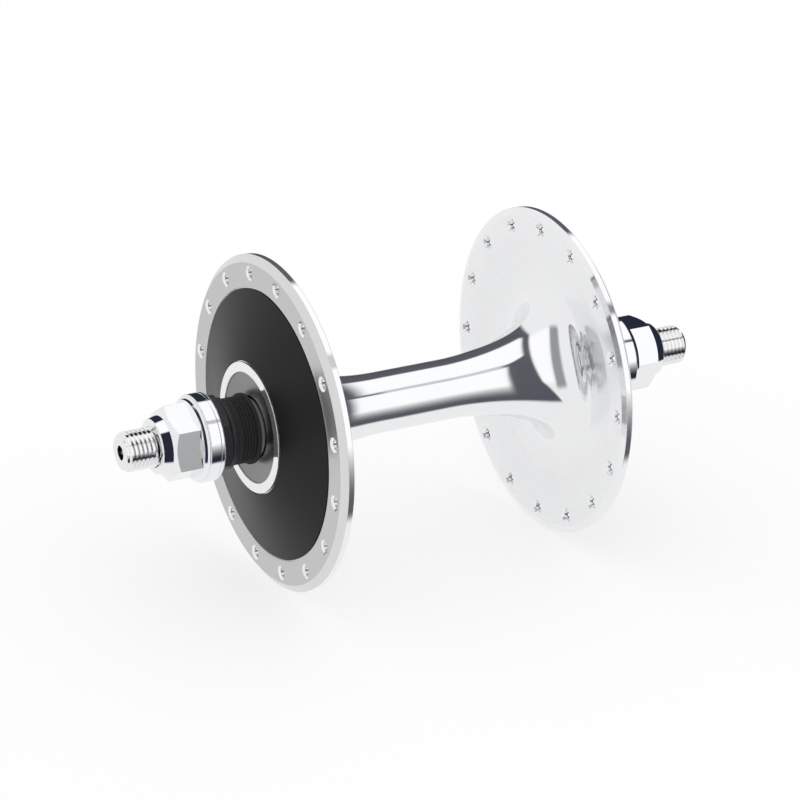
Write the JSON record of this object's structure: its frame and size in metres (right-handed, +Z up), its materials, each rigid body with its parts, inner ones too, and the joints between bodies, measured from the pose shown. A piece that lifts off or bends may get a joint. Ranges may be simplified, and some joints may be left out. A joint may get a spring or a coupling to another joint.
{
  "type": "bicycle front hub",
  "caption": "Large-flange bicycle front hub with cup-and-cone bearings, black flange covers, ribbed seals and flanged axle nuts with captive washers.",
  "frame": {"origin": "centre of the hub, on the axle's axis, midway between the flanges", "axes": "+Y along the axle, towards the right side; +Z up; +X square to both"},
  "size_m": [0.075, 0.141, 0.075],
  "materials": {
    "shell_aluminium": "polished",
    "axle_steel": "plated, rolled thread",
    "chrome": "bright chrome plate",
    "bearing_steel": "ground",
    "ball_steel": "polished",
    "cone_steel": "hardened and ground",
    "cap_steel": "satin plate",
    "black_cover": "satin black",
    "black_steel": "black oxide, glossy",
    "seal_rubber": "smooth moulded"
  },
  "bodies": {
    "axle_set": {"axle": "axle_steel", "cone_left": "cone_steel", "cone_right": "cone_steel", "seal_left": "seal_rubber", "seal_right": "seal_rubber", "spacer_washer_left": "black_steel", "spacer_washer_right": "black_steel", "locknut_left": "black_steel", "locknut_right": "black_steel"},
    "hub": {"hub_shell": "shell_aluminium", "bearing_cup_left": "bearing_steel", "bearing_cup_right": "bearing_steel", "dust_cap_left": "cap_steel", "dust_cap_right": "cap_steel", "flange_cover_left": "black_cover", "flange_cover_right": "black_cover"},
    "balls_left": {"ball_set_left": "ball_steel"},
    "captive_washer_left": {"nut_washer_left": "chrome"},
    "nut_left": {"axle_nut_left": "chrome"},
    "balls_right": {"ball_set_right": "ball_steel"},
    "captive_washer_right": {"nut_washer_right": "chrome"},
    "nut_right": {"axle_nut_right": "chrome"}
  },
  "joints": [
    {"name": "hub_spin", "type": "hinge", "parent": "axle_set", "child": "hub", "pos_m": [0, 0, 0], "axis": [0, 1, 0], "continuous": true},
    {"name": "ball_orbit_left", "type": "hinge", "parent": "axle_set", "child": "balls_left", "pos_m": [0, -0.0356, 0], "axis": [0, 1, 0], "continuous": true},
    {"name": "washer_slide_left", "type": "slide", "parent": "axle_set", "child": "captive_washer_left", "axis": [0, -1, 0], "range_m": [0, 0.0181]},
    {"name": "nut_turn_left", "type": "hinge", "parent": "captive_washer_left", "child": "nut_left", "pos_m": [0, -0.057, 0], "axis": [0, -1, 0], "range_deg": [0, 6480]},
    {"name": "ball_orbit_right", "type": "hinge", "parent": "axle_set", "child": "balls_right", "pos_m": [0, 0.0356, 0], "axis": [0, 1, 0], "continuous": true},
    {"name": "washer_slide_right", "type": "slide", "parent": "axle_set", "child": "captive_washer_right", "axis": [0, 1, 0], "range_m": [0, 0.0181]},
    {"name": "nut_turn_right", "type": "hinge", "parent": "captive_washer_right", "child": "nut_right", "pos_m": [0, 0.057, 0], "axis": [0, 1, 0], "range_deg": [0, 6480]}
  ],
  "couplings": [
    {"joint": "ball_orbit_left", "follows": "hub_spin", "ratio": 0.605},
    {"joint": "washer_slide_left", "follows": "nut_turn_left", "m_per_rad": 0.00015915},
    {"joint": "ball_orbit_right", "follows": "hub_spin", "ratio": 0.605},
    {"joint": "washer_slide_right", "follows": "nut_turn_right", "m_per_rad": 0.00015915}
  ]
}
